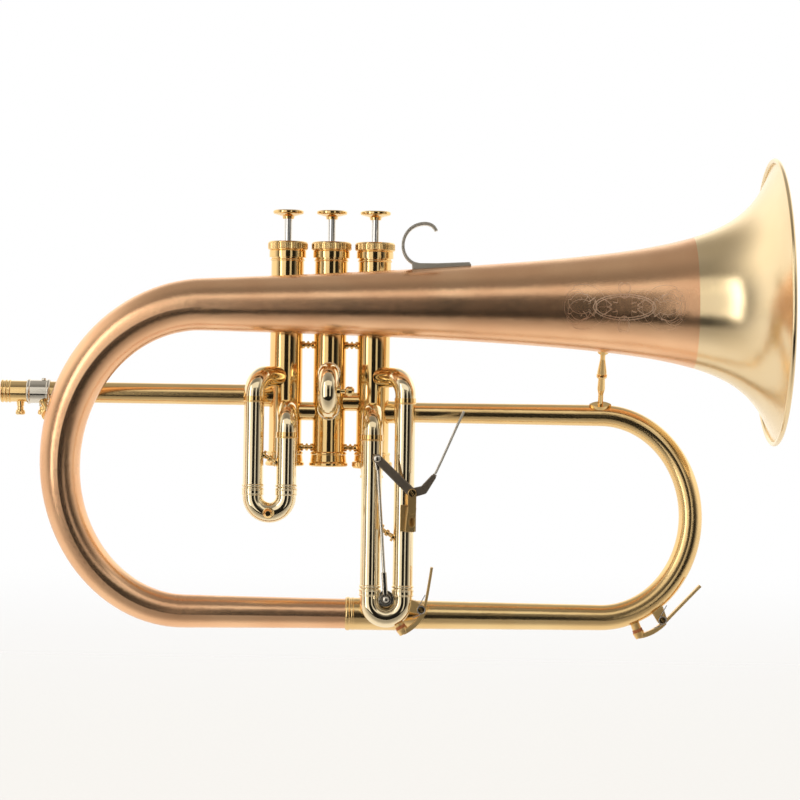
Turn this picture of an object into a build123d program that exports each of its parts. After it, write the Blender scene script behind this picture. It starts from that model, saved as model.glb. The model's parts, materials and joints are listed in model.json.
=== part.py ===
from build123d import *

import os
from math import atan2, cos, degrees, exp, hypot, radians, sin, tan

os.makedirs("parts", exist_ok=True)

# Flugelhorn. The origin is on the second valve's axis, level with the leadpipe. +X runs towards the
# bell, +Z up along the valves, and -Y towards the side that carries the bell and the slides.

# ---- driving dimensions, mm --------------------------------------------------------------------

clearance = 0.04            # radial gap of a shaft or slide in its bore
joint_gap = 0.3             # gap between curved faces of pieces that move apart
airway_r = 4.8              # bore of the valve ports and slides
tube_wall = 0.5

valve_pitch = 24.8
valve_x = (-valve_pitch, 0.0, valve_pitch)
casing_r = 9.3
casing_wall = 0.8
casing_bottom = -36.0
casing_top = 84.0
stroke = 12.0

piston_r = casing_r - casing_wall
piston_bottom = -17.5
piston_top = 36.0
barrel_r = 7.7
barrel_top = 82.3
guide_z = 38.6
guide_height = 2.2
guide_wing = 3.0
spring_bottom = guide_z + guide_height / 2 + 0.1
spring_r = 5.6
spring_wire_r = 0.4
spring_turns = 8
stem_r = 2.3
button_r = 8.65
button_base = 100.4
button_top = 105.3
cap_top = 87.5
# Port heights: in, out, and the tubes to the first and second leg of the slide.
port_heights = ((0.0, -8.7, 10.7, -8.0), (-8.7, -3.0, 12.7, -7.2), (-3.0, -8.6, 11.0, -9.0))
knuckle_heights = (-8.7, -3.0)
baluster_heights = (29.0, -29.2)
baluster_r = 2.2
baluster_neck_r = 1.3
port_reach = 5.2            # from an outer valve's axis to the end of its tube's ferrule
ferrule_length = 10.2       # on the leadpipe
ferrule_reach = 8.4         # on the main bow

leadpipe_r = 5.9
sleeve_start = -172.0
sleeve_end = -158.6
sleeve_r = 6.6
receiver_start = -186.6
receiver_r = 6.05
shank_r = 4.8               # straight socket for the mouthpiece
shank_depth = 22.0
tuning_tube_r = 5.4
tuning_tube_end = -132.0
tuning_travel_end_gap = 2.0
tuning_bore_r = 4.4
clamp_x = -162.5
thumb_x = -175.6
screw_r = 1.3
brace_top = (-164.5, -1.0, -3.0)
brace_foot = (-153.0, -17.0, -19.0)

lever_front = -36.0         # depths of the trigger's lever and of the rod behind it
lever_back = -34.0
rod_back = -31.3
link_pin_r = 1.0
ball_pin_r = 1.3
ball_play = 0.8             # the link's lower joint is loose, so the slide can be led in a line
key_half = 2.4              # half the width of a water key
cork_r = 2.9
cork_height = 2.3

slide_r = 5.7               # outer slide tube
slide_inner_r = 5.2
first_leg_end = -51.5
third_leg_end = -106.9
first_bow_z = -56.4         # centre of each half-round bow
third_bow_z = -114.2
second_leg_end = -27.0
second_x = 0.5
second_ports = (12.7, -7.2)
slide_y = -24.5             # plane of the first and third slides
first_legs = (valve_x[0] - 16.5, valve_x[0] + 2.1)
third_legs = (valve_x[2] + 18.5, valve_x[2] + 0.3)

# The trigger turns on a screw by the third slide, and its rod leads down to the slide's bow.
pivot = (third_legs[0] + 4.5, -53.1)
lever_pin = (third_legs[1] + 3.1, -34.3)
third_middle = sum(third_legs) / 2
ball = (third_middle - 0.3, third_bow_z + 1.6)

# Each water key: its cork, the cork's slant, the pivot and the finger tip, then the saddle's foot.
slide_key = ((third_legs[0] - 0.5, third_bow_z - 14.7), -60.8,
             (third_legs[0] + 10.6, third_bow_z - 4.3), (third_legs[0] + 16.2, third_bow_z + 19.3))
slide_key_foot = (third_legs[0] + 5.3, third_bow_z - 2.4)

bell_rim_r = 80.0
bell_wall = 0.7
bell_cone_r = 23.4          # share of the rim radius that fades slowly along the bell
bell_bore_r = 5.5           # share that never fades
bell_flare_s = 27.0
bell_flare_power = 1.55
bell_cone_s = 300.0
seam_s = 46.3               # joint between the flare and the bell's body, back from the rim
rim_x = 248.7
bell_join_x = -68.6         # where the straight throat ends and the bow starts
bell_join_z = 50.0
bead_r = 1.4                # wire that the rim is closed with
bell_tilt = 1.05            # rise of the throat towards the rim, degrees
bell_y = -31.0              # depth of the throat's axis
bell_apex_x = -150.2
bell_apex_z = -41.4
tail_join_x = -80.0
tail_end_x = 26.8
ferrule_start = 11.2
ferrule_end = 42.4
tail_y = -8.0
tail_z = -122.9

bow_top_z = -8.6
bow_join_x = 155.0
bow_apex_x = 206.0
bow_r_start = 5.7
bow_r_gain = 2.6
bow_gain_power = 1.5
bow_key = ((bow_join_x + 21.9, tail_z - 7.4), -67.8, (bow_join_x + 35.4, tail_z - 0.7),
           (bow_join_x + 56.8, tail_z + 18.9))
bow_key_foot = (bow_join_x + 32.6, tail_z + 5.1)
bow_key_y = tail_y + 0.25

# ---- small helpers -----------------------------------------------------------------------------


def bead(x, y, z, axis, radius, width):
    """Round-edged ring with its middle at a point, as a solid disc to be bored later."""
    with BuildPart() as ring:
        with BuildSketch(Plane(origin=(x, y, z), z_dir=axis)):
            Circle(radius)
        extrude(amount=width / 2, both=True)
        fillet(ring.edges(), width * 0.42)
    return ring.part


def rod(start, end, radius, end_radius=None):
    """Round bar, or a cone, between two points."""
    axis = Vector(*end) - Vector(*start)
    from_start = (Align.CENTER, Align.CENTER, Align.MIN)
    with BuildPart() as bar:
        with Locations(Plane(origin=start, z_dir=axis).location):
            if end_radius is None:
                Cylinder(radius, axis.length, align=from_start)
            else:
                Cone(radius, end_radius, axis.length, align=from_start)
    return bar.part


def pipe(points, bend, outer, inner):
    """Tube of constant size along straight runs joined by arcs."""
    with BuildPart() as tube:
        with BuildLine() as route:
            if len(points) == 2:
                Line(*points)
            else:
                FilletPolyline(*points, radius=bend)
        with BuildSketch(Plane(origin=route.line @ 0, z_dir=route.line % 0)):
            Circle(outer)
            if inner:
                Circle(inner, mode=Mode.SUBTRACT)
        sweep(path=route.line)
    return tube.part


def turned(origin, axis, outline):
    """Solid of revolution: pairs of height along the axis and radius, in order."""
    with BuildPart() as piece:
        with BuildSketch(Plane(origin=origin, x_dir=Vector(*axis), z_dir=square_to(axis))):
            with BuildLine():
                Polyline(*outline, close=True)
            make_face()
        revolve(axis=Axis(origin, axis))
    return piece.part


def square_to(axis):
    """Any direction at right angles to an axis."""
    axis = Vector(*axis)
    other = Vector(0, 0, 1) if abs(axis.Z) < 0.9 * axis.length else Vector(1, 0, 0)
    return axis.cross(other).normalized()


def at(point, y):
    """Point given in X and Z, placed at a depth."""
    return (point[0], y, point[1])


def plate(points, y_low, y_high):
    """Flat plate seen face on: a closed outline in X and Z between two depths."""
    with BuildPart() as sheet:
        with BuildSketch(Plane(origin=(0, y_high, 0), x_dir=(1, 0, 0), z_dir=(0, -1, 0))):
            with BuildLine():
                Polyline(*points, close=True)
            make_face()
        extrude(amount=y_high - y_low)
    return sheet.part


def strip(points, thickness, y_low, y_high):
    """Sheet strip bent along a smooth line in X and Z."""
    with BuildPart() as sheet:
        with BuildSketch(Plane(origin=(0, y_high, 0), x_dir=(1, 0, 0), z_dir=(0, -1, 0))):
            with BuildLine() as middle:
                Spline(*points)
            trace(line_width=thickness)
        extrude(amount=y_high - y_low)
    return sheet.part


# ---- bell --------------------------------------------------------------------------------------

bell_drop = bell_join_z - tail_z
bell_lean = degrees(atan2(tail_y - bell_y, bell_drop))
bell_plane = Plane(origin=(0, tail_y, tail_z), x_dir=(1, 0, 0),
                   z_dir=(0, -cos(radians(bell_lean)), -sin(radians(bell_lean))))
bell_height = bell_drop / cos(radians(bell_lean))
apex_height = (bell_apex_z - tail_z) / cos(radians(bell_lean))
bell_top_angle = 180 - degrees(atan2(tan(radians(bell_tilt)) * (bell_join_x - bell_apex_x),
                                     bell_height - apex_height))


def bell_r(s):
    """Outer radius of the bell a distance s back from its rim, along the centreline."""
    flare_r = bell_rim_r - bell_cone_r - bell_bore_r
    flare = flare_r * (bell_flare_s / (bell_flare_s + s)) ** bell_flare_power
    return flare + bell_cone_r * exp(-s / bell_cone_s) + bell_bore_r


def bell_inner_r(s):
    """Inner radius, with the wall's thickness measured square to the sloping surface."""
    slope = (bell_r(s + 0.01) - bell_r(s)) / 0.01
    return bell_r(s) - bell_wall * hypot(1, slope)


def bent_stations(plane, centre, semi_x, semi_y, start, stop, count):
    """Centreline points and directions of an elliptical bow, with the angle from its lower end."""
    stations = []
    for i in range(count + 1):
        angle = radians(start + (stop - start) * i / count)
        u = centre[0] + semi_x * sin(angle)
        v = centre[1] - semi_y * cos(angle)
        along = plane.x_dir * (semi_x * cos(angle)) + plane.y_dir * (semi_y * sin(angle))
        stations.append((plane.from_local_coords((u, v, 0)), along))
    return stations


def straight_stations(plane, start, stop, count=2):
    """Centreline points and directions of a straight run between two local points."""
    first = plane.from_local_coords((*start, 0))
    along = plane.from_local_coords((*stop, 0)) - first
    return [(first + along * (i / count), along) for i in range(count + 1)]


def run_solid(stations, radii, normal):
    """Solid loft through round sections square to the centreline."""
    with BuildPart() as run:
        for (point, along), radius in zip(stations, radii):
            with BuildSketch(Plane(origin=point, x_dir=normal, z_dir=along)):
                Circle(radius)
        loft()
    return run.part


def distances(runs):
    """Distance along the centreline of each station, counted on from run to run."""
    result = []
    total = 0.0
    for stations in runs:
        here = [total]
        for (point, _), (following, _) in zip(stations, stations[1:]):
            total += (following - point).length
            here.append(total)
        result.append(here)
    return result


bell_runs = [
    straight_stations(bell_plane, (tail_end_x, 0), (tail_join_x, 0)),
    bent_stations(bell_plane, (tail_join_x, apex_height), bell_apex_x - tail_join_x, apex_height,
                  0, 90, 7),
    bent_stations(bell_plane, (bell_join_x, apex_height), bell_apex_x - bell_join_x,
                  bell_height - apex_height, 90, bell_top_angle, 7),
]
throat_start = bell_runs[-1][-1][0]
throat_dir = bell_runs[-1][-1][1].normalized()
throat_length = (rim_x - throat_start.X) / throat_dir.X
rim_centre = throat_start + throat_dir * throat_length
# Local X runs back from the rim along the throat's axis, and local Y is the radius.
throat_plane = Plane(origin=rim_centre, x_dir=throat_dir * -1, z_dir=bell_plane.z_dir)


def throat_solid(stations, radius_at):
    """Solid turned about the throat's axis between the first and last distances from the rim."""
    with BuildPart() as turned_solid:
        with BuildSketch(throat_plane):
            with BuildLine():
                Spline(*[(s, radius_at(s)) for s in stations])
                Polyline((stations[-1], radius_at(stations[-1])), (stations[-1], 0),
                         (stations[0], 0), (stations[0], radius_at(stations[0])))
            make_face()
        revolve(axis=Axis(rim_centre, throat_dir))
    return turned_solid.part


bell_from_tail = distances(bell_runs)
bell_length = bell_from_tail[-1][-1] + throat_length
bell_radii = [[bell_r(bell_length - d) for d in run] for run in bell_from_tail]
bell_inner_radii = [[bell_inner_r(bell_length - d) for d in run] for run in bell_from_tail]
seam_stations = [seam_s, 70, 100, 135, 175, 220, 268, throat_length]
flare_stations = [0, 3, 7, 12, 18, 25, 35, seam_s]

with BuildPart() as bell_outside:
    for stations, radii in zip(bell_runs, bell_radii):
        add(run_solid(stations, radii, bell_plane.z_dir))
    add(throat_solid(seam_stations, bell_r))

with BuildPart() as bell_body:
    add(bell_outside.part)
    for stations, radii in zip(bell_runs, bell_inner_radii):
        add(run_solid(stations, radii, bell_plane.z_dir), mode=Mode.SUBTRACT)
    add(throat_solid(seam_stations, bell_inner_r), mode=Mode.SUBTRACT)
bell_body.part.label = "bell_body"
export_step(bell_body.part, "parts/bell_body.step")

with BuildPart() as bell_rim_wire:
    with BuildSketch(throat_plane):
        with Locations((bead_r, bell_rim_r - bead_r)):
            Circle(bead_r)
    revolve(axis=Axis(rim_centre, throat_dir))
bell_rim_wire.part.label = "bell_rim_wire"
export_step(bell_rim_wire.part, "parts/bell_rim_wire.step")

with BuildPart() as bell_flare:
    add(throat_solid(flare_stations, bell_r))
    add(throat_solid(flare_stations, bell_inner_r), mode=Mode.SUBTRACT)
    add(bell_rim_wire.part, mode=Mode.SUBTRACT)
bell_flare.part = bell_flare.part.solids().sort_by(SortBy.VOLUME)[-1]
bell_flare.part.label = "bell_flare"
export_step(bell_flare.part, "parts/bell_flare.step")

# ---- main bow ----------------------------------------------------------------------------------

bow_lean = degrees(atan2(tail_y, tail_z - bow_top_z)) + 180
bow_drop = hypot(tail_y, tail_z - bow_top_z)
bow_plane = Plane(origin=(0, tail_y, tail_z), x_dir=(1, 0, 0),
                  z_dir=Vector(1, 0, 0).cross(Vector(0, -tail_y, bow_top_z - tail_z)))
exit_x = valve_pitch + casing_r - 3
bow_runs = [
    straight_stations(bow_plane, (exit_x, bow_drop), (bow_join_x, bow_drop)),
    bent_stations(bow_plane, (bow_join_x, bow_drop / 2), bow_apex_x - bow_join_x, bow_drop / 2,
                  180, 90, 7),
    bent_stations(bow_plane, (bow_join_x, bow_drop / 2), bow_apex_x - bow_join_x, bow_drop / 2,
                  90, 0, 7),
    straight_stations(bow_plane, (bow_join_x, 0), (tail_end_x, 0)),
]
for run in bow_runs[1:3]:
    run[:] = [(point, along * -1) for point, along in run]
bow_distances = distances(bow_runs)
bow_length = bow_distances[-1][-1]
bow_radii = [[bow_r_start + bow_r_gain * (d / bow_length) ** bow_gain_power for d in run]
             for run in bow_distances]
casing_3_solid = rod((valve_pitch, 0, casing_bottom), (valve_pitch, 0, casing_top), casing_r)

with BuildPart() as bow_outside:
    for stations, radii in zip(bow_runs, bow_radii):
        add(run_solid(stations, radii, bow_plane.z_dir))

with BuildPart() as main_bow:
    add(bow_outside.part)
    for stations, radii in zip(bow_runs, bow_radii):
        add(run_solid(stations, [r - tube_wall for r in radii], bow_plane.z_dir), mode=Mode.SUBTRACT)
    add(casing_3_solid, mode=Mode.SUBTRACT)
main_bow.part.label = "main_bow"
export_step(main_bow.part, "parts/main_bow.step")

with BuildPart() as tail_ferrule:
    for x, radius, width in ((ferrule_start + 1.5, 9.5, 3.0), (ferrule_start + 4.2, 9.3, 2.0)):
        add(bead(x, tail_y, tail_z, (1, 0, 0), radius, width))
    add(rod((ferrule_start, tail_y, tail_z), (ferrule_end, tail_y, tail_z), 9.1))
    add(bell_outside.part, mode=Mode.SUBTRACT)
    add(bow_outside.part, mode=Mode.SUBTRACT)
tail_ferrule.part.label = "tail_ferrule"
export_step(tail_ferrule.part, "parts/tail_ferrule.step")

# ---- leadpipe and mouthpiece receiver ----------------------------------------------------------

casing_solids = [rod((x, 0, casing_bottom), (x, 0, casing_top), casing_r) for x in valve_x]
tuning_bore_end = tuning_tube_end + tuning_travel_end_gap

with BuildPart() as leadpipe:
    add(rod((sleeve_start, 0, 0), (valve_x[0] - 6, 0, 0), leadpipe_r))
    add(rod((sleeve_start, 0, 0), (tuning_bore_end, 0, 0), tuning_tube_r + clearance),
        mode=Mode.SUBTRACT)
    add(rod((tuning_bore_end, 0, 0), (valve_x[0], 0, 0), tuning_bore_r, airway_r),
        mode=Mode.SUBTRACT)
    add(casing_solids[0], mode=Mode.SUBTRACT)
leadpipe.part.label = "leadpipe"
export_step(leadpipe.part, "parts/leadpipe.step")

with BuildPart() as leadpipe_sleeve:
    add(rod((sleeve_start + 0.3, 0, 0), (sleeve_end, 0, 0), sleeve_r))
    for x, radius in ((sleeve_start + 1.3, 7.1), (sleeve_end - 1.0, 7.1)):
        add(bead(x, 0, 0, (1, 0, 0), radius, 2.0))
    add(rod((clamp_x, 0, -sleeve_r + 1), (clamp_x, 0, -sleeve_r - 1.6), 2.6))
    add(rod((clamp_x, 0, sleeve_r - 1), (clamp_x, 0, sleeve_r + 1.1), 1.6, 1.2))
    add(rod((clamp_x, 0, -sleeve_r - 2), (clamp_x, 0, -leadpipe_r), screw_r + clearance),
        mode=Mode.SUBTRACT)
    add(rod((sleeve_start, 0, 0), (sleeve_end, 0, 0), leadpipe_r), mode=Mode.SUBTRACT)
leadpipe_sleeve.part.label = "leadpipe_sleeve"
export_step(leadpipe_sleeve.part, "parts/leadpipe_sleeve.step")


def thumb_screw(x, top, head_top, head_bottom, head_r):
    """Knurled screw that hangs below a tube, with a waist under its collar."""
    waist = (head_top + head_bottom) / 2
    return turned((x, 0, 0), (0, 0, 1), [
        (top, 0), (top, screw_r), (head_top, screw_r), (head_top, head_r * 0.75),
        (waist + 0.6, head_r * 0.75), (waist + 0.3, head_r), (head_bottom + 0.3, head_r),
        (head_bottom, head_r * 0.8), (head_bottom, 0)])


with BuildPart() as sleeve_clamp_screw:
    add(thumb_screw(clamp_x, -leadpipe_r - 0.1, -sleeve_r - 1.8, -13.2, 3.0))
sleeve_clamp_screw.part.label = "sleeve_clamp_screw"
export_step(sleeve_clamp_screw.part, "parts/sleeve_clamp_screw.step")

with BuildPart() as mouthpiece_receiver:
    add(rod((receiver_start, 0, 0), (sleeve_start, 0, 0), receiver_r))
    add(rod((sleeve_start, 0, 0), (tuning_tube_end, 0, 0), tuning_tube_r))
    for x in (receiver_start + 0.8, receiver_start + 3.0, receiver_start + 5.0):
        add(bead(x, 0, 0, (1, 0, 0), receiver_r + 0.45, 1.4))
    add(rod((thumb_x, 0, -receiver_r + 1), (thumb_x, 0, -receiver_r - 2.4), 2.4, 1.9))
    add(rod((thumb_x, 0, -receiver_r - 3), (thumb_x, 0, -shank_r - 0.4), screw_r + clearance),
        mode=Mode.SUBTRACT)
    add(rod((receiver_start - 1, 0, 0), (receiver_start + shank_depth, 0, 0), shank_r),
        mode=Mode.SUBTRACT)
    add(rod((receiver_start, 0, 0), (tuning_tube_end, 0, 0), tuning_bore_r), mode=Mode.SUBTRACT)
mouthpiece_receiver.part.label = "mouthpiece_receiver"
export_step(mouthpiece_receiver.part, "parts/mouthpiece_receiver.step")

with BuildPart() as receiver_thumb_screw:
    add(thumb_screw(thumb_x, -shank_r - 0.6, -receiver_r - 2.6, -13.3, 2.5))
receiver_thumb_screw.part.label = "receiver_thumb_screw"
export_step(receiver_thumb_screw.part, "parts/receiver_thumb_screw.step")

with BuildPart() as leadpipe_brace:
    add(rod(brace_top, brace_foot, 1.6))
    brace_dir = Vector(*brace_foot) - Vector(*brace_top)
    plate_at = Vector(*brace_top) + brace_dir * 0.55
    add(rod(plate_at, plate_at + brace_dir.normalized() * 1.4, 4.6))
    add(rod((sleeve_start, 0, 0), (sleeve_end, 0, 0), leadpipe_r), mode=Mode.SUBTRACT)
    add(leadpipe_sleeve.part, mode=Mode.SUBTRACT)
    add(bell_outside.part, mode=Mode.SUBTRACT)
leadpipe_brace.part.label = "leadpipe_brace"
export_step(leadpipe_brace.part, "parts/leadpipe_brace.step")

# ---- slides: fixed outer tubes -----------------------------------------------------------------


def elbow(valve, port_z, leg_x, leg_end, bend, outer=slide_r, inner=slide_inner_r + clearance):
    """Outer slide tube: out of a valve, through a bend, and down a leg."""
    x = valve_x[valve]
    reach = hypot(leg_x - x, slide_y)
    start = 5.0 / reach
    points = [(x + (leg_x - x) * start, slide_y * start, port_z), (leg_x, slide_y, port_z),
              (leg_x, slide_y, leg_end)]
    with BuildPart() as tube:
        add(pipe(points, bend, outer, inner))
        add(casing_solids[valve], mode=Mode.SUBTRACT)
    return tube.part


with BuildPart() as first_slide_outer:
    add(elbow(0, 10.7, first_legs[0], first_leg_end, 10.5))
    add(elbow(0, -8.0, first_legs[1], first_leg_end, 11.5))
    for x in first_legs:
        add(bead(x, slide_y, first_leg_end + 0.9, (0, 0, 1), slide_r + 0.5, 1.6))
        add(rod((x, slide_y, first_leg_end), (x, slide_y, first_leg_end + 2.2),
                slide_inner_r + clearance), mode=Mode.SUBTRACT)
first_slide_outer.part.label = "first_slide_outer"
export_step(first_slide_outer.part, "parts/first_slide_outer.step")

with BuildPart() as third_slide_outer:
    add(elbow(2, 11.0, third_legs[0], third_leg_end, 10.5))
    add(elbow(2, -9.0, third_legs[1], third_leg_end, 11.5))
    for x in third_legs:
        add(bead(x, slide_y, third_leg_end + 0.9, (0, 0, 1), slide_r + 0.5, 1.6))
        add(rod((x, slide_y, third_leg_end), (x, slide_y, third_leg_end + 2.2),
                slide_inner_r + clearance), mode=Mode.SUBTRACT)
third_slide_outer.part.label = "third_slide_outer"
export_step(third_slide_outer.part, "parts/third_slide_outer.step")

with BuildPart() as second_slide_outer:
    for z in second_ports:
        add(rod((second_x, -5, z), (second_x, second_leg_end, z), slide_r))
        add(bead(second_x, second_leg_end + 0.9, z, (0, 1, 0), slide_r + 0.5, 1.6))
    for z in second_ports:
        add(rod((second_x, 0, z), (second_x, second_leg_end - 1, z), slide_inner_r + clearance),
            mode=Mode.SUBTRACT)
    add(casing_solids[1], mode=Mode.SUBTRACT)
second_slide_outer.part.label = "second_slide_outer"
export_step(second_slide_outer.part, "parts/second_slide_outer.step")


def slide_brace(legs, start_z, stop_z):
    """Turned brace between two slide legs, slanting, with a foot on each tube."""
    first = (min(legs) + slide_r - 0.6, slide_y, start_z)
    last = (max(legs) - slide_r + 0.6, slide_y, stop_z)
    span = Vector(*last) - Vector(*first)
    with BuildPart() as brace:
        add(turned(first, span, [
            (0, 0), (0, 2.9), (1.3, 2.9), (1.7, 1.3), (span.length * 0.38, 1.1),
            (span.length * 0.42, 1.9), (span.length * 0.58, 1.9), (span.length * 0.62, 1.1),
            (span.length - 1.7, 1.3), (span.length - 1.3, 2.9), (span.length, 2.9),
            (span.length, 0)]))
        for x in legs:
            add(rod((x, slide_y, start_z + 12), (x, slide_y, stop_z - 12), slide_r),
                mode=Mode.SUBTRACT)
    return brace.part


with BuildPart() as first_slide_brace:
    add(slide_brace(first_legs, -33.5, -37.5))
first_slide_brace.part.label = "first_slide_brace"
export_step(first_slide_brace.part, "parts/first_slide_brace.step")

with BuildPart() as third_slide_brace:
    add(slide_brace(third_legs, -73.5, -78.5))
third_slide_brace.part.label = "third_slide_brace"
export_step(third_slide_brace.part, "parts/third_slide_brace.step")

# ---- valves ------------------------------------------------------------------------------------

# Height and direction of the ports of each valve: in, out, and the two slide tubes.
left = (-1, 0)
right = (1, 0)
valve_ports = []
for valve, legs in ((0, first_legs), (1, None), (2, third_legs)):
    heights = port_heights[valve]
    if legs:
        outward = [(x - valve_x[valve], slide_y) for x in legs]
    else:
        outward = [(second_x, slide_y)] * 2
    valve_ports.append(list(zip((left, right, outward[0], outward[1]), heights)))


def port_point(direction, z, reach):
    """Point a distance out from the valve's axis along a port."""
    size = hypot(*direction)
    return (direction[0] / size * reach, direction[1] / size * reach, z)


def casing(valve):
    """Valve casing: a bored tube with a bead below its cap and a hole at each port."""
    x = valve_x[valve]
    with BuildPart() as tube:
        add(rod((x, 0, casing_bottom), (x, 0, casing_top), casing_r))
        add(bead(x, 0, 77.0, (0, 0, 1), casing_r + 0.5, 1.2))
        add(rod((x, 0, casing_bottom), (x, 0, casing_top), piston_r + clearance), mode=Mode.SUBTRACT)
        for direction, z in valve_ports[valve]:
            end = port_point(direction, z, casing_r + 2)
            add(rod((x, 0, z), (x + end[0], end[1], z), airway_r), mode=Mode.SUBTRACT)
    return tube.part


def passage(start, end, radius):
    """Round bar through a piston from one port to another, run on past both."""
    first = Vector(*start)
    span = Vector(*end) - first
    return rod(first - span.normalized() * 4, first + span + span.normalized() * 4, radius)


def piston(valve):
    """Hollow piston with three lined passages, and a slotted spring barrel above it."""
    x = valve_x[valve]
    (into, into_z), (out, out_z), (slide_a, a_z), (slide_b, b_z) = valve_ports[valve]
    crossings = [((into, into_z), (out, out_z))]
    near, far = ((slide_a, a_z), (slide_b, b_z)) if valve != 1 else ((slide_b, b_z), (slide_a, a_z))
    crossings.append(((into, into_z + stroke), (near[0], near[1] + stroke)))
    crossings.append(((far[0], far[1] + stroke), (out, out_z + stroke)))
    with BuildPart() as liners:
        for (from_dir, from_z), (to_dir, to_z) in crossings:
            add(passage(port_point(from_dir, from_z, piston_r), port_point(to_dir, to_z, piston_r),
                        airway_r + 0.5))
    with BuildPart() as body:
        add(rod((0, 0, piston_bottom), (0, 0, piston_top), piston_r))
        add(rod((0, 0, piston_bottom + 1), (0, 0, piston_top - 1), piston_r - 0.9),
            mode=Mode.SUBTRACT)
        add(liners.part)
        add(rod((0, 0, piston_top - 0.5), (0, 0, barrel_top), barrel_r))
        add(rod((0, 0, piston_top), (0, 0, barrel_top - 1.2), barrel_r - 0.8), mode=Mode.SUBTRACT)
        with Locations((0, 0, guide_z + stroke / 2)):
            Box(2 * casing_r, guide_wing + 0.8, stroke + 4.5, mode=Mode.SUBTRACT)
        for (from_dir, from_z), (to_dir, to_z) in crossings:
            add(passage(port_point(from_dir, from_z, piston_r), port_point(to_dir, to_z, piston_r),
                        airway_r), mode=Mode.SUBTRACT)
        add(rod((0, 0, barrel_top - 2), (0, 0, barrel_top), stem_r), mode=Mode.SUBTRACT)
        with Locations((0, 0, (piston_bottom + piston_top) / 2)):
            Cylinder(piston_r, piston_top - piston_bottom + 2 * (barrel_top - piston_top),
                     mode=Mode.INTERSECT)
    return body.part.moved(Location((x, 0, 0)))


def spring(x):
    """Valve spring between the fixed guide and the top of the spring barrel."""
    height = barrel_top - 1.2 - 0.1 - spring_bottom - 2 * spring_wire_r
    with BuildPart() as coil:
        with BuildLine() as helix:
            Helix(pitch=height / spring_turns, height=height, radius=spring_r,
                  center=(x, 0, spring_bottom + spring_wire_r))
        with BuildSketch(Plane(origin=helix.line @ 0, z_dir=helix.line % 0)):
            Circle(spring_wire_r)
        sweep(path=helix.line)
    return coil.part


for valve, x in enumerate(valve_x):
    number = valve + 1

    with BuildPart() as valve_casing:
        add(casing(valve))
    valve_casing.part.label = f"valve_casing_{number}"
    export_step(valve_casing.part, f"parts/valve_casing_{number}.step")

    with BuildPart() as piston_body:
        add(piston(valve))
    piston_body.part.label = f"piston_{number}"
    export_step(piston_body.part, f"parts/piston_{number}.step")

    with BuildPart() as valve_stem:
        add(rod((x, 0, barrel_top - 1.2), (x, 0, button_base + 2.4), stem_r))
        add(rod((x, 0, barrel_top), (x, 0, barrel_top + 0.6), 3.4))
    valve_stem.part.label = f"valve_stem_{number}"
    export_step(valve_stem.part, f"parts/valve_stem_{number}.step")

    with BuildPart() as finger_button:
        add(turned((x, 0, 0), (0, 0, 1), [
            (button_base, 0), (button_base, 3.1), (button_base + 1.6, 3.5),
            (button_base + 2.8, button_r - 0.5), (button_base + 3.3, button_r),
            (button_top - 0.5, button_r), (button_top, button_r - 0.6), (button_top, 0)]))
        add(rod((x, 0, button_base), (x, 0, button_base + 2.4), stem_r), mode=Mode.SUBTRACT)
    finger_button.part.label = f"finger_button_{number}"
    export_step(finger_button.part, f"parts/finger_button_{number}.step")

    with BuildPart() as valve_spring:
        add(spring(x))
    valve_spring.part.label = f"valve_spring_{number}"
    export_step(valve_spring.part, f"parts/valve_spring_{number}.step")

with BuildPart() as valve_guides:
    for x in valve_x:
        with Locations((x, 0, guide_z)):
            Cylinder(barrel_r - 1.2, guide_height)
            Box(2 * (piston_r - 0.1), guide_wing, guide_height)
valve_guides.part.label = "valve_guides"
export_step(valve_guides.part, "parts/valve_guides.step")

with BuildPart() as cap_felts:
    for x in valve_x:
        add(rod((x, 0, barrel_top + 0.7), (x, 0, casing_top), 7.6))
    for x in valve_x:
        add(rod((x, 0, barrel_top), (x, 0, casing_top + 1), stem_r + 1.3), mode=Mode.SUBTRACT)
cap_felts.part.label = "cap_felts"
export_step(cap_felts.part, "parts/cap_felts.step")

with BuildPart() as top_caps:
    for x in valve_x:
        add(turned((x, 0, 0), (0, 0, 1), [
            (78.4, 0), (78.4, 10.5), (82.0, 10.5), (82.4, 10.2), (82.8, 11.15), (87.0, 11.15),
            (cap_top, 10.5), (cap_top, 0)]))
    for x in valve_x:
        add(rod((x, 0, 78), (x, 0, casing_top), casing_r), mode=Mode.SUBTRACT)
        add(rod((x, 0, 80), (x, 0, cap_top + 1), stem_r + 0.3), mode=Mode.SUBTRACT)
top_caps.part.label = "top_caps"
export_step(top_caps.part, "parts/top_caps.step")

with BuildPart() as bottom_caps:
    for x in valve_x[:2]:
        add(turned((x, 0, 0), (0, 0, 1), [
            (-31.6, 0), (-31.6, 9.9), (-32.2, 10.4), (-33.0, 10.4), (-33.4, 10.0), (-37.2, 10.4),
            (-38.2, 11.1), (-39.4, 11.1), (-40.0, 10.4), (-40.0, 0)]))
    for x in valve_x[:2]:
        add(rod((x, 0, -31), (x, 0, casing_bottom), casing_r), mode=Mode.SUBTRACT)
        add(rod((x, 0, -31), (x, 0, casing_bottom - 2.4), piston_r), mode=Mode.SUBTRACT)
        add(rod((x, 0, -31), (x, 0, -41), 1.5), mode=Mode.SUBTRACT)
bottom_caps.part.label = "bottom_caps"
export_step(bottom_caps.part, "parts/bottom_caps.step")

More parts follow.
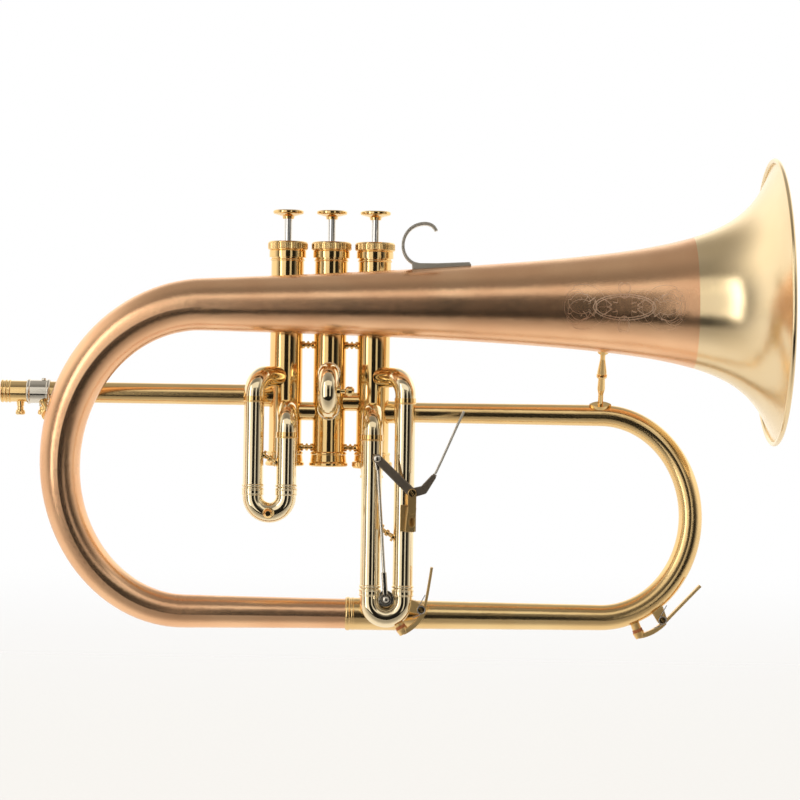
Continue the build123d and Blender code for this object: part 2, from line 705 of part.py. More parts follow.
with BuildPart() as heavy_bottom_cap:
    x = valve_x[2]
    add(turned((x, 0, 0), (0, 0, 1), [
        (-31.6, 0), (-31.6, 9.9), (-32.2, 10.4), (-33.0, 10.4), (-33.4, 10.0), (-36.6, 10.2),
        (-37.0, 11.2), (-40.2, 11.2), (-40.7, 10.6), (-41.2, 6.4), (-44.0, 6.0), (-45.8, 6.8),
        (-46.6, 5.8), (-46.6, 0)]))
    add(rod((x, 0, -31), (x, 0, casing_bottom), casing_r), mode=Mode.SUBTRACT)
    add(rod((x, 0, -31), (x, 0, casing_bottom - 2.4), piston_r), mode=Mode.SUBTRACT)
    add(rod((x, 0, -31), (x, 0, -47), 1.5), mode=Mode.SUBTRACT)
heavy_bottom_cap.part.label = "heavy_bottom_cap"
export_step(heavy_bottom_cap.part, "parts/heavy_bottom_cap.step")

with BuildPart() as valve_balusters:
    for x in valve_x[:2]:
        for z in baluster_heights:
            start = x + casing_r - 1.0
            gap = valve_pitch - 2 * casing_r + 2.0
            foot = gap / 4.1
            neck = foot * 1.2
            bulge = foot / 4
            slope = foot * 0.45
            add(turned((start, 0, z), (1, 0, 0), [
                (0, 0), (0, baluster_r), (foot, baluster_r), (neck, baluster_neck_r),
                (gap / 2 - slope, baluster_neck_r), (gap / 2 - bulge, baluster_r),
                (gap / 2 + bulge, baluster_r), (gap / 2 + slope, baluster_neck_r),
                (gap - neck, baluster_neck_r), (gap - foot, baluster_r), (gap, baluster_r),
                (gap, 0)]))
    for solid in casing_solids:
        add(solid, mode=Mode.SUBTRACT)
valve_balusters.part.label = "valve_balusters"
export_step(valve_balusters.part, "parts/valve_balusters.step")

with BuildPart() as valve_knuckles:
    for x, z in zip(valve_x[:2], knuckle_heights):
        add(pipe([(x + 4, 0, z), (x + valve_pitch - 4, 0, z)], 0, airway_r + 0.5, airway_r))
    for solid in casing_solids:
        add(solid, mode=Mode.SUBTRACT)
valve_knuckles.part.label = "valve_knuckles"
export_step(valve_knuckles.part, "parts/valve_knuckles.step")

# ---- ferrules ----------------------------------------------------------------------------------

first_port = valve_x[0] - port_reach
last_port = valve_x[2] + port_reach

with BuildPart() as tube_ferrules:
    add(rod((first_port - ferrule_length, 0, 0), (first_port, 0, 0), leadpipe_r + 0.7))
    add(bead(first_port - ferrule_length + 0.6, 0, 0, (1, 0, 0), leadpipe_r + 1.1, 1.2))
    add(rod((last_port, 0, bow_top_z), (last_port + ferrule_reach, 0, bow_top_z),
            bow_r_start + 0.7))
    add(bead(last_port + ferrule_reach - 0.6, 0, bow_top_z, (1, 0, 0), bow_r_start + 1.1, 1.2))
    for x, z in ((first_legs[0], -0.6), (first_legs[1], -20.5), (third_legs[0], -0.6),
                 (third_legs[1], -21.3)):
        add(rod((x, slide_y, z - 3.4), (x, slide_y, z), slide_r + 0.35))
        add(bead(x, slide_y, z - 3.0, (0, 0, 1), slide_r + 0.6, 0.9))
    add(rod((first_port - 2 * ferrule_length, 0, 0), (valve_x[0], 0, 0), leadpipe_r),
        mode=Mode.SUBTRACT)
    add(bow_outside.part, mode=Mode.SUBTRACT)
    for x in (*first_legs, *third_legs):
        add(rod((x, slide_y, 6), (x, slide_y, -40), slide_r), mode=Mode.SUBTRACT)
    for solid in casing_solids:
        add(solid, mode=Mode.SUBTRACT)
tube_ferrules.part.label = "tube_ferrules"
export_step(tube_ferrules.part, "parts/tube_ferrules.step")

# ---- slides: moving bows -----------------------------------------------------------------------


def bow_solid(legs, y, ring_z, bow_z, radius):
    """Solid along a slide's bow: down one leg, round the half turn and up the other."""
    middle = sum(legs) / 2
    half = abs(legs[0] - legs[1]) / 2
    with BuildPart() as solid:
        with BuildLine() as route:
            Line((legs[0], y, ring_z - 1), (legs[0], y, bow_z))
            ThreePointArc((legs[0], y, bow_z), (middle, y, bow_z - half), (legs[1], y, bow_z))
            Line((legs[1], y, bow_z), (legs[1], y, ring_z - 1))
        with BuildSketch(Plane(origin=(legs[0], y, ring_z - 1), z_dir=(0, 0, -1))):
            Circle(radius)
        sweep(path=route.line)
    return solid.part


def slide_bow(legs, y, ring_z, bow_z, inner_tops):
    """Moving half of a slide: two inner tubes, ferrules, and a half-round bow."""
    with BuildPart() as bow:
        add(bow_solid(legs, y, ring_z, bow_z, slide_r))
        for x, top in zip(legs, inner_tops):
            add(rod((x, y, ring_z - 1), (x, y, top), slide_inner_r))
            add(rod((x, y, ring_z - 4.0), (x, y, ring_z - joint_gap), slide_r + 0.35))
            add(bead(x, y, ring_z - 1.2, (0, 0, 1), slide_r + 0.6, 1.2))
            add(bead(x, y, ring_z - 3.9, (0, 0, 1), slide_r + 0.5, 1.0))
        for x, top in zip(legs, inner_tops):
            add(rod((x, y, ring_z - 1), (x, y, top + 1), airway_r), mode=Mode.SUBTRACT)
        add(bow_solid(legs, y, ring_z, bow_z, airway_r), mode=Mode.SUBTRACT)
    return bow.part


with BuildPart() as first_slide_bow:
    add(slide_bow(first_legs, slide_y, first_leg_end, first_bow_z, (-6.0, -24.0)))
first_slide_bow.part.label = "first_slide_bow"
export_step(first_slide_bow.part, "parts/first_slide_bow.step")

third_bow_solid = bow_solid(third_legs, slide_y, third_leg_end, third_bow_z, slide_r)
with BuildPart() as third_slide_bow:
    add(slide_bow(third_legs, slide_y, third_leg_end, third_bow_z, (-30.0, -30.0)))
third_slide_bow.part.label = "third_slide_bow"
export_step(third_slide_bow.part, "parts/third_slide_bow.step")

# The second slide is the same pattern lying on its side: built upright, then tipped towards -Y.
second_half = (second_ports[0] - second_ports[1]) / 2
second_middle = (second_ports[0] + second_ports[1]) / 2
with BuildPart() as second_slide_bow:
    upright = slide_bow((-second_half, second_half), 0, second_leg_end,
                        second_leg_end - 4.0, (-13.0, -13.0))
    add(upright.rotate(Axis.Z, 90).rotate(Axis.X, -90)
        .moved(Location((second_x, 0, second_middle))))
second_slide_bow.part.label = "second_slide_bow"
export_step(second_slide_bow.part, "parts/second_slide_bow.step")


def pull_knob(origin, axis, reach):
    """Turned knob on a stalk, standing on a slide bow."""
    return turned(origin, axis, [
        (-1.5, 0), (-1.5, 3.2), (0.9, 3.2), (1.3, 1.3), (reach * 0.42, 1.2), (reach * 0.48, 2.2),
        (reach * 0.62, 2.8), (reach * 0.85, 2.6), (reach, 1.5), (reach, 0)])


first_knob_z = first_bow_z - (first_legs[1] - first_legs[0]) / 2
with BuildPart() as first_slide_knob:
    add(pull_knob((sum(first_legs) / 2, slide_y - slide_r, first_knob_z), (0, -1, 0), 8.2))
    add(first_slide_bow.part, mode=Mode.SUBTRACT)
first_slide_knob.part = first_slide_knob.part.solids().sort_by(Axis.Y)[0]
first_slide_knob.part.label = "first_slide_knob"
export_step(first_slide_knob.part, "parts/first_slide_knob.step")

with BuildPart() as second_slide_knob:
    add(pull_knob((second_x + slide_r, second_leg_end - 4.0 - second_half, second_middle),
                  (1, 0, 0), 8.7))
    add(second_slide_bow.part, mode=Mode.SUBTRACT)
second_slide_knob.part = second_slide_knob.part.solids().sort_by(Axis.X)[-1]
second_slide_knob.part.label = "second_slide_knob"
export_step(second_slide_knob.part, "parts/second_slide_knob.step")

# ---- third-slide trigger -----------------------------------------------------------------------

lever_bend = (pivot[0] + 6.2, pivot[1] + 1.7)
lever_end = (pivot[0] + 11.6, pivot[1] + 8.9)


def link_plate(start, end, start_r, end_r, y_low, y_high):
    """Flat link with rounded ends, seen face on between two depths."""
    with BuildPart() as link:
        with BuildSketch(Plane(origin=(0, y_high, 0), x_dir=(1, 0, 0), z_dir=(0, -1, 0))):
            with Locations(start):
                Circle(start_r)
            with Locations(end):
                Circle(end_r)
            make_hull()
        extrude(amount=y_high - y_low)
    return link.part


with BuildPart() as trigger_lever:
    add(link_plate(lever_pin, pivot, 2.4, 2.6, lever_front, lever_back))
    add(link_plate(pivot, lever_bend, 2.6, 2.4, lever_front, lever_back))
    add(link_plate(lever_bend, lever_end, 2.4, 1.5, lever_front, lever_back))
    add(rod((*at(pivot, lever_front),), (*at(pivot, lever_back),), screw_r + clearance),
        mode=Mode.SUBTRACT)
    add(rod(at(lever_pin, lever_front - 0.7), at(lever_pin, lever_front), 1.6))
    add(rod(at(lever_pin, lever_back), at(lever_pin, rod_back), link_pin_r))
    with BuildSketch(Plane(origin=(0, lever_back, 0), x_dir=(1, 0, 0), z_dir=(0, -1, 0))):
        with Locations((lever_end[0] + 0.2, lever_end[1] + 0.3)):
            Rectangle(2.2, 3.0, rotation=-35)
    extrude(amount=lever_back - lever_front)
trigger_lever.part.label = "trigger_lever"
export_step(trigger_lever.part, "parts/trigger_lever.step")

with BuildPart() as trigger_finger_plate:
    add(strip([(lever_end[0] + x, lever_end[1] + z)
               for x, z in ((1.0, 1.8), (5.2, 11.0), (10.9, 24.2), (16.5, 36.9))], 1.2,
              lever_front - 3.0, lever_back + 4.0))
    fillet(trigger_finger_plate.edges().filter_by(lambda e: e.center().Z > lever_end[1] + 35
                                                  and e.length < 1.5), 0.3)
    add(trigger_lever.part, mode=Mode.SUBTRACT)
trigger_finger_plate.part = trigger_finger_plate.part.solids().sort_by(SortBy.VOLUME)[-1]
trigger_finger_plate.part.label = "trigger_finger_plate"
export_step(trigger_finger_plate.part, "parts/trigger_finger_plate.step")

bracket_high = pivot[1] - 6.9
bracket_low = pivot[1] - 21.7

with BuildPart() as trigger_bracket:
    ear_gap = joint_gap / 2
    for y_low, y_high in ((lever_front - ear_gap - 1.6, lever_front - ear_gap),
                          (lever_back + ear_gap, lever_back + ear_gap + 1.4)):
        add(link_plate(pivot, (pivot[0] + 0.1, pivot[1] - 11), 2.5, 2.4, y_low, y_high))
    add(plate([(pivot[0] - 2.4, pivot[1] - 8.4), (pivot[0] + 2.5, pivot[1] - 8.4),
               (pivot[0] + 1.6, bracket_low), (pivot[0] - 3.6, bracket_low)],
              lever_front - 1.0, slide_y - 1.5))
    add(plate([(third_legs[0] - 2.0, bracket_high),
               (third_legs[0] + slide_r + 1.2, bracket_high),
               (third_legs[0] + slide_r + 1.2, bracket_low), (third_legs[0] - 2.0, bracket_low)],
              slide_y - slide_r - 1.1, slide_y - 1.5))
    with BuildSketch(Plane(origin=(0, lever_back + 4, 0), x_dir=(1, 0, 0), z_dir=(0, -1, 0))):
        with Locations((pivot[0] + 0.1, pivot[1] - 16.3)):
            Ellipse(1.5, 2.6)
    extrude(amount=8, mode=Mode.SUBTRACT)
    add(rod(at(pivot, lever_front - 4), at(pivot, lever_back + 4), screw_r), mode=Mode.SUBTRACT)
    add(rod((third_legs[0], slide_y, -40), (third_legs[0], slide_y, -90), slide_r),
        mode=Mode.SUBTRACT)
trigger_bracket.part.label = "trigger_bracket"
export_step(trigger_bracket.part, "parts/trigger_bracket.step")

with BuildPart() as link_rod:
    rod_y = (lever_back + joint_gap + rod_back) / 2
    top, bottom = at(lever_pin, rod_y), at(ball, rod_y)
    along = (Vector(*bottom) - Vector(*top)).normalized()
    add(rod(top, bottom, 0.95))
    add(rod(Vector(*bottom) - along * 15, bottom, 1.45))
    add(rod(top, Vector(*top) + along * 6.5, 2.0, 1.3))
    for centre, outside in ((lever_pin, 2.1), (ball, 3.2)):
        add(rod(at(centre, lever_back + joint_gap), at(centre, rod_back), outside))
    for centre, hole in ((lever_pin, link_pin_r + clearance), (ball, ball_pin_r + ball_play)):
        add(rod(at(centre, lever_back), at(centre, slide_y), hole), mode=Mode.SUBTRACT)
    for y in (lever_back + joint_gap - 5, rod_back + 5):
        with Locations((0, y, -70)):
            Box(200, 10, 200, mode=Mode.SUBTRACT)
link_rod.part.label = "link_rod"
export_step(link_rod.part, "parts/link_rod.step")

with BuildPart() as link_ball_stud:
    add(rod(at(ball, slide_y - 3), at(ball, slide_y + 1.5), 4.6))
    add(rod(at(ball, slide_y - 5.4), at(ball, slide_y), 2.6))
    add(rod(at(ball, lever_back - 0.4), at(ball, slide_y), ball_pin_r))
    add(third_bow_solid, mode=Mode.SUBTRACT)
    add(third_slide_bow.part, mode=Mode.SUBTRACT)
link_ball_stud.part = link_ball_stud.part.solids().sort_by(SortBy.VOLUME)[-1]
link_ball_stud.part.label = "link_ball_stud"
export_step(link_ball_stud.part, "parts/link_ball_stud.step")

# ---- water keys --------------------------------------------------------------------------------


def key_frame(cork, angle, y):
    """Frame of a water key's seat: local X along the nipple, out of the tube."""
    axis = (cos(radians(angle)), 0, sin(radians(angle)))
    return Vector(cork[0], y, cork[1]), Vector(*axis)


def key_nipple(cork, angle, y):
    """Short spout under the cork, run back into the tube it drains."""
    seat, axis = key_frame(cork, angle, y)
    with BuildPart() as nipple:
        add(rod(seat - axis * 5.5, seat - axis * (cork_height / 2 + 0.05), 2.6))
    return nipple.part


def key_saddle(cork, angle, pivot_at, foot, y):
    """Post with two ears for the pivot screw, and the nipple, cut to fit their tube."""
    with BuildPart() as saddle:
        add(link_plate(pivot_at, foot, 2.7, 3.4, y - key_half - 1.4, y + key_half + 1.4))
        add(plate_around(pivot_at, foot, y), mode=Mode.SUBTRACT)
        add(rod((pivot_at[0], y - 9, pivot_at[1]), (pivot_at[0], y + 9, pivot_at[1]), screw_r),
            mode=Mode.SUBTRACT)
        add(key_nipple(cork, angle, y))
    return saddle.part


def plate_around(pivot_at, foot, y):
    """Room between a saddle's ears for the lever and its spring."""
    half = key_half + joint_gap / 2
    toward = Vector(foot[0] - pivot_at[0], foot[1] - pivot_at[1], 0)
    reach = toward.normalized() * 3.6
    return link_plate((pivot_at[0] + reach.X, pivot_at[1] + reach.Y),
                      (pivot_at[0] - reach.X * 4, pivot_at[1] - reach.Y * 4), 3.6, 3.6,
                      y - half, y + half)


def key_lever(cork, angle, pivot_at, tip, y):
    """Water key: a cup over the cork, a bent arm over the pivot, and a thin finger end."""
    seat, axis = key_frame(cork, angle, y)
    cup = seat + axis * (cork_height / 2 + 0.2)
    mid = ((cup.X + axis.X * 1.6 + pivot_at[0] + 2.2) / 2 + 0.9,
           (cup.Z + axis.Z * 1.6 + pivot_at[1]) / 2 - 1.5)
    thigh = ((pivot_at[0] + tip[0]) / 2 + 1.0, (pivot_at[1] + tip[1]) / 2 - 0.4)
    with BuildPart() as lever:
        add(strip([(cup.X + axis.X * 1.6, cup.Z + axis.Z * 1.6), mid,
                   (pivot_at[0] + 1.6, pivot_at[1] - 1.4)], 2.6, y - key_half + 0.3,
                  y + key_half - 0.3))
        add(strip([(pivot_at[0] + 1.6, pivot_at[1] - 1.4), thigh, tip], 1.5, y - key_half,
                  y + key_half))
        add(rod((pivot_at[0], y - key_half, pivot_at[1]), (pivot_at[0], y + key_half, pivot_at[1]),
                2.6))
        add(rod(cup - axis * 0.9, cup + axis * 2.6, 3.3, 2.6))
        add(rod(seat - axis * 3, seat + axis * cork_height / 2, cork_r), mode=Mode.SUBTRACT)
        add(rod((pivot_at[0], y - 9, pivot_at[1]), (pivot_at[0], y + 9, pivot_at[1]),
                screw_r + clearance), mode=Mode.SUBTRACT)
    return lever.part


def key_cork(cork, angle, y):
    """Cork disc held in the key's cup."""
    seat, axis = key_frame(cork, angle, y)
    return rod(seat - axis * cork_height / 2, seat + axis * cork_height / 2, cork_r)


def slotted_screw(centre, y_front, y_back, head_r):
    """Pivot screw with a slotted head on the -Y side."""
    with BuildPart() as screw:
        add(rod(at(centre, y_front), at(centre, y_back), screw_r))
        add(rod(at(centre, y_front - 1.0), at(centre, y_front), head_r))
        with Locations(Location((centre[0], y_front - 1.0, centre[1]), (0, -35, 0))):
            Box(0.7, 0.9, 4 * head_r, mode=Mode.SUBTRACT)
    return screw.part


ear_front = key_half + 1.4

with BuildPart() as slide_key_saddle:
    add(key_saddle(*slide_key[:3], slide_key_foot, slide_y))
    add(third_bow_solid, mode=Mode.SUBTRACT)
    add(third_slide_bow.part, mode=Mode.SUBTRACT)
slide_key_saddle.part = Compound(slide_key_saddle.part.solids().sort_by(SortBy.VOLUME)[-2:])
slide_key_saddle.part.label = "slide_key_saddle"
export_step(slide_key_saddle.part, "parts/slide_key_saddle.step")

with BuildPart() as bow_key_saddle:
    add(key_saddle(*bow_key[:3], bow_key_foot, bow_key_y))
    add(bow_outside.part, mode=Mode.SUBTRACT)
bow_key_saddle.part.label = "bow_key_saddle"
export_step(bow_key_saddle.part, "parts/bow_key_saddle.step")

for name, key, y, drained in (("slide_key", slide_key, slide_y, third_bow_solid),
                              ("bow_key", bow_key, bow_key_y, bow_outside.part)):
    with BuildPart() as water_key_cork:
        add(key_cork(key[0], key[1], y))
        add(drained, mode=Mode.SUBTRACT)
    water_key_cork.part.label = f"{name}_cork"
    export_step(water_key_cork.part, f"parts/{name}_cork.step")

    with BuildPart() as water_key_lever:
        add(key_lever(*key, y))
    water_key_lever.part.label = f"{name}_lever"
    export_step(water_key_lever.part, f"parts/{name}_lever.step")

with BuildPart() as slide_key_screw:
    add(slotted_screw(slide_key[2], slide_y - ear_front, slide_y + ear_front, 2.6))
slide_key_screw.part.label = "slide_key_screw"
export_step(slide_key_screw.part, "parts/slide_key_screw.step")

with BuildPart() as pivot_screws:
    add(slotted_screw(bow_key[2], bow_key_y - ear_front, bow_key_y + ear_front, 2.6))
    add(slotted_screw(pivot, lever_front - ear_gap - 1.6, lever_back + ear_gap + 1.4, 2.1))
pivot_screws.part.label = "pivot_screws"
export_step(pivot_screws.part, "parts/pivot_screws.step")

# ---- hook and braces on the bell ---------------------------------------------------------------

hook_y = bell_y - 0.3
with BuildPart() as finger_hook:
    add(strip([(59.0, 92.7), (55.5, 96.2), (50.2, 96.4), (44.6, 93.6), (41.0, 87.6), (40.9, 82.0),
               (43.4, 77.0), (49.5, 73.8)], 1.7, hook_y - 4.0, hook_y + 4.0))
    add(plate([(47.0, 75.3), (50.0, 74.6), (60.0, 74.7), (77.6, 75.6), (78.6, 74.4), (78.6, 66),
               (46.5, 66), (45.6, 75.0)], hook_y - 4.0, hook_y + 4.0))
    add(bell_outside.part, mode=Mode.SUBTRACT)
finger_hook.part = finger_hook.part.solids().sort_by(Axis.Z)[-1]
finger_hook.part.label = "finger_hook"
export_step(finger_hook.part, "parts/finger_hook.step")

with BuildPart() as bell_brace:
    top = Vector(153.5, bell_y + 6.0, 30.0)
    foot = Vector(154.0, -2.2, -5.2)
    span = foot - top
    add(turned(top, span, [
        (-2, 0), (-2, 3.1), (3.6, 3.1), (4.4, 1.5), (8.0, 1.4), (17.0, 2.7), (17.8, 2.0),
        (18.6, 3.0), (19.8, 3.0), (20.6, 1.9), (28.0, 2.2), (31.5, 1.5), (34.6, 1.5),
        (span.length, 1.6), (span.length, 0)]))
    with BuildSketch(Plane(origin=foot - span.normalized() * 3.6, x_dir=(1, 0, 0),
                           z_dir=span)):
        with BuildLine():
            ThreePointArc((-6.2, 0), (0, 3.0), (6.2, 0))
            ThreePointArc((6.2, 0), (0, -3.0), (-6.2, 0))
        make_face()
    extrude(amount=2.6)
    add(bell_outside.part, mode=Mode.SUBTRACT)
    add(bow_outside.part, mode=Mode.SUBTRACT)
bell_brace.part = bell_brace.part.solids().sort_by(SortBy.VOLUME)[-1]
bell_brace.part.label = "bell_brace"
export_step(bell_brace.part, "parts/bell_brace.step")

with BuildPart() as bell_valve_braces:
    for x in (valve_x[0], valve_x[2]):
        height = throat_start.Z + (x - throat_start.X) * tan(radians(bell_tilt))
        add(turned((x, -casing_r + 1.2, height), (0, -1, 0), [
            (0, 0), (0, 3.8), (1.9, 3.8), (2.3, 2.2), (9.0, 2.2), (9.0, 0)]))
    for solid in casing_solids:
        add(solid, mode=Mode.SUBTRACT)
    add(bell_outside.part, mode=Mode.SUBTRACT)
bell_valve_braces.part = Compound(bell_valve_braces.part.solids().sort_by(Axis.Y)[-2:])
bell_valve_braces.part.label = "bell_valve_braces"
export_step(bell_valve_braces.part, "parts/bell_valve_braces.step")
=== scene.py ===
import json
import math

import bmesh
import bpy
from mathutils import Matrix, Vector


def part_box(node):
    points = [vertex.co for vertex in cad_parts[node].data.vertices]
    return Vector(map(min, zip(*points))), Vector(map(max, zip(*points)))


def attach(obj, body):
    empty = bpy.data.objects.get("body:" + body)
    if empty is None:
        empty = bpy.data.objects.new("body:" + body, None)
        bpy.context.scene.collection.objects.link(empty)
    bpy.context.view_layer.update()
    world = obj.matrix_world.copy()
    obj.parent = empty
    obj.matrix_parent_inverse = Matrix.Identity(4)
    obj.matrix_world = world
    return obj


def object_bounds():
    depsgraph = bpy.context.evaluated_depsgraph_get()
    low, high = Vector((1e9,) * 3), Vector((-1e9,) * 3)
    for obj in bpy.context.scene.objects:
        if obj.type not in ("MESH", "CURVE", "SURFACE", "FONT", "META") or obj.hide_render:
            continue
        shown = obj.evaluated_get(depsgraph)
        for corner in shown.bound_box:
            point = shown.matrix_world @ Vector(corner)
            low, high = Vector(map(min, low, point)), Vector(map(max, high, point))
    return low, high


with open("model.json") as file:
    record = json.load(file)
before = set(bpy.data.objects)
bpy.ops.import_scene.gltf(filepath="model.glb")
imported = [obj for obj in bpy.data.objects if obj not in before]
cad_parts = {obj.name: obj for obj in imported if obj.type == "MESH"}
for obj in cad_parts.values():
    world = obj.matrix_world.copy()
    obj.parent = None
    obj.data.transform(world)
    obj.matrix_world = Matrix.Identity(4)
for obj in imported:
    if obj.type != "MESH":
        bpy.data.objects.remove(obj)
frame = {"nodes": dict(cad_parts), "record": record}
cad_low, cad_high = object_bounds()
nodes = frame["nodes"]
bpy.ops.object.select_all(action="DESELECT")

# ---- Bell body -----------------------------------------------------------------------------------
# One long cone of rose brass, hammered and drawn on a mandrel and bent into the back bow. It is
# scratch brushed to a satin along its length and round its girth, then sealed with clear lacquer,
# so it gives wide soft bands of light instead of sharp ones.


def linear(hex_colour):
    """sRGB hex colour as linear RGBA."""
    channels = [int(hex_colour[i:i + 2], 16) / 255 for i in (1, 3, 5)]
    return [c / 12.92 if c <= 0.04045 else ((c + 0.055) / 1.055) ** 2.4 for c in channels] + [1.0]


def put(material, kind, sockets=None, **settings):
    """Add a shader node, set its settings, then set or link its sockets."""
    made = material.node_tree.nodes.new(kind)
    for name, value in settings.items():
        setattr(made, name, value)
    for name, value in (sockets or {}).items():
        if isinstance(value, bpy.types.NodeSocket):
            material.node_tree.links.new(value, made.inputs[name])
        else:
            made.inputs[name].default_value = value
    return made


def metal(name, light, dark, roughness, spread, grain=(1.2, 0.12, 0.12), bite=0.03, edge=0.0):
    """Lacquered or plated metal: light and dark end its colour variation, spread is how much its
    gloss varies, grain the length and width of the brush marks in mm, bite their depth in mm,
    and edge the radius in mm that its sharp edges are polished to."""
    made = bpy.data.materials.new(name)
    made.use_nodes = True
    shader = made.node_tree.nodes["Principled BSDF"]
    place = put(made, "ShaderNodeTexCoord").outputs["Object"]
    brushed = put(made, "ShaderNodeMapping", {
        "Vector": place, "Scale": [1000.0 / length for length in grain]})
    marks = put(made, "ShaderNodeTexNoise", {
        "Vector": brushed.outputs["Vector"], "Scale": 1.0, "Detail": 3.0, "Roughness": 0.55})
    # Slow drifts of tone, this many mm long, as lacquer and handling leave them.
    drift = 38.0
    clouds = put(made, "ShaderNodeTexNoise", {
        "Vector": place, "Scale": 1000.0 / drift, "Detail": 2.0, "Roughness": 0.5})
    both = put(made, "ShaderNodeMix", {
        "Factor": 0.35, "A": clouds.outputs["Fac"], "B": marks.outputs["Fac"]}, data_type="FLOAT")
    tone = put(made, "ShaderNodeValToRGB", {"Fac": both.outputs["Result"]})
    tone.color_ramp.elements[0].position = 0.32
    tone.color_ramp.elements[0].color = linear(dark)
    tone.color_ramp.elements[1].position = 0.68
    tone.color_ramp.elements[1].color = linear(light)
    gloss = put(made, "ShaderNodeMapRange", {
        "Value": both.outputs["Result"], "From Min": 0.3, "From Max": 0.7,
        "To Min": roughness + spread, "To Max": max(roughness - spread, 0.02)})
    relief = put(made, "ShaderNodeBump", {
        "Height": marks.outputs["Fac"], "Strength": 0.6, "Distance": bite / 1000.0})
    if edge:
        rounded = put(made, "ShaderNodeBevel", {"Radius": edge / 1000.0})
        made.node_tree.links.new(rounded.outputs["Normal"], relief.inputs["Normal"])
    made.node_tree.links.new(tone.outputs["Color"], shader.inputs["Base Color"])
    made.node_tree.links.new(gloss.outputs["Result"], shader.inputs["Roughness"])
    made.node_tree.links.new(relief.outputs["Normal"], shader.inputs["Normal"])
    shader.inputs["Metallic"].default_value = 1.0
    return made


def finish(material, *names):
    """Give CAD nodes their material."""
    for node in names:
        nodes[node].data.materials.clear()
        nodes[node].data.materials.append(material)


# Satin rose brass, scratch brushed: coppery, with highlights spread wide.
rose_brass = metal("satin_rose_brass", "#f4c8a0", "#e0ad86", 0.24, 0.05)
finish(rose_brass, "bell_body")

# ---- Engraving on the bell -----------------------------------------------------------------------
# A plain oval cartouche with scrolls at its ends, cut with a graver through the lacquer near the
# mouth of the bell. The cuts are bare, matt and lighter than the satin round them.
engraving_middle = (162.0, 51.0)    # along the bell and up, in mm
engraving_front = -90.0             # where the lines are drawn, clear of the bell, in mm
cut_width = 0.5
oval_line_width = 0.45
burr_height = 0.12
cut_brass = metal("engraved_bare_brass", "#ffe2c8", "#b07a58", 0.5, 0.1, bite=0.05)


def start_piece(name):
    """Name the new object and go into its mesh with nothing selected."""
    made = bpy.context.object
    made.name = made.data.name = name
    bpy.ops.object.transform_apply(location=True, rotation=True, scale=True)
    bpy.ops.object.mode_set(mode="EDIT")
    bpy.ops.mesh.select_all(action="DESELECT")
    return made


def end_piece(made, material, body, angle=40):
    """Close the mesh's normals, smooth it, and let it ride with its body."""
    bpy.ops.mesh.select_all(action="SELECT")
    bpy.ops.mesh.normals_make_consistent(inside=False)
    bpy.ops.object.mode_set(mode="OBJECT")
    bpy.ops.object.shade_smooth_by_angle(angle=math.radians(angle))
    made.data.materials.append(material)
    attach(made, body)
    bpy.ops.object.select_all(action="DESELECT")
    return made


def select_where(made, test):
    """Select the vertices whose place passes the test."""
    mesh = bmesh.from_edit_mesh(made.data)
    for vertex in mesh.verts:
        vertex.select = test(vertex.co)
    mesh.select_flush_mode()
    bmesh.update_edit_mesh(made.data)


def graver_line(start, heading, arcs):
    """A cut drawn as arcs of a radius in mm and a turn in degrees, from a start beside the
    cartouche's middle. A positive turn bends to the left; the cut thins to its end."""
    thinning = 0.75
    degrees_a_step = 12
    x = (engraving_middle[0] + start[0]) / 1000.0
    z = (engraving_middle[1] + start[1]) / 1000.0
    y = engraving_front / 1000.0
    bpy.ops.mesh.primitive_plane_add(size=cut_width / 1000.0, location=(x, y, z),
                                     rotation=(math.radians(90), 0.0, 0.0))
    line = start_piece("engraved_line")
    select_where(line, lambda place: place.x > x)
    bpy.ops.mesh.delete(type="VERT")
    bpy.ops.mesh.select_all(action="SELECT")
    bpy.ops.transform.translate(value=(cut_width / 2000.0, 0.0, 0.0))
    bpy.ops.transform.rotate(value=-math.radians(heading), orient_axis="Y",
                             center_override=(x, y, z))
    for radius, turn in arcs:
        side = math.radians(heading + (90 if turn > 0 else -90))
        middle_x = x + math.cos(side) * radius / 1000.0
        middle_z = z + math.sin(side) * radius / 1000.0
        bpy.ops.mesh.spin(
            steps=max(3, round(abs(turn) / degrees_a_step)), angle=-math.radians(turn),
            center=(middle_x, y, middle_z), axis=(0.0, 1.0, 0.0))
        swing = math.radians(turn)
        across, up = x - middle_x, z - middle_z
        x = middle_x + across * math.cos(swing) - up * math.sin(swing)
        z = middle_z + across * math.sin(swing) + up * math.cos(swing)
        heading += turn
        bpy.ops.transform.resize(value=(thinning, 1.0, thinning), center_override=(x, y, z))
    bpy.ops.object.mode_set(mode="OBJECT")
    return line


lines = []
oval_middle = (engraving_middle[0] / 1000, engraving_front / 1000, engraving_middle[1] / 1000)
# The cartouche's double outline, by the half width and half height of each oval in mm.
for wide, tall in ((17.0, 7.2), (15.6, 6.0)):
    bpy.ops.mesh.primitive_circle_add(
        vertices=72, radius=wide / 1000.0, fill_type="NOTHING", location=oval_middle,
        rotation=(math.radians(90), 0.0, 0.0))
    oval = start_piece("engraved_oval")
    bpy.ops.mesh.select_all(action="SELECT")
    bpy.ops.transform.resize(value=(1.0, 1.0, tall / wide), center_override=oval_middle)
    bpy.ops.mesh.extrude_region_move()
    bpy.ops.transform.resize(
        value=(1.0 - oval_line_width / wide, 1.0, 1.0 - oval_line_width / tall),
        center_override=oval_middle)
    bpy.ops.object.mode_set(mode="OBJECT")
    lines.append(oval)
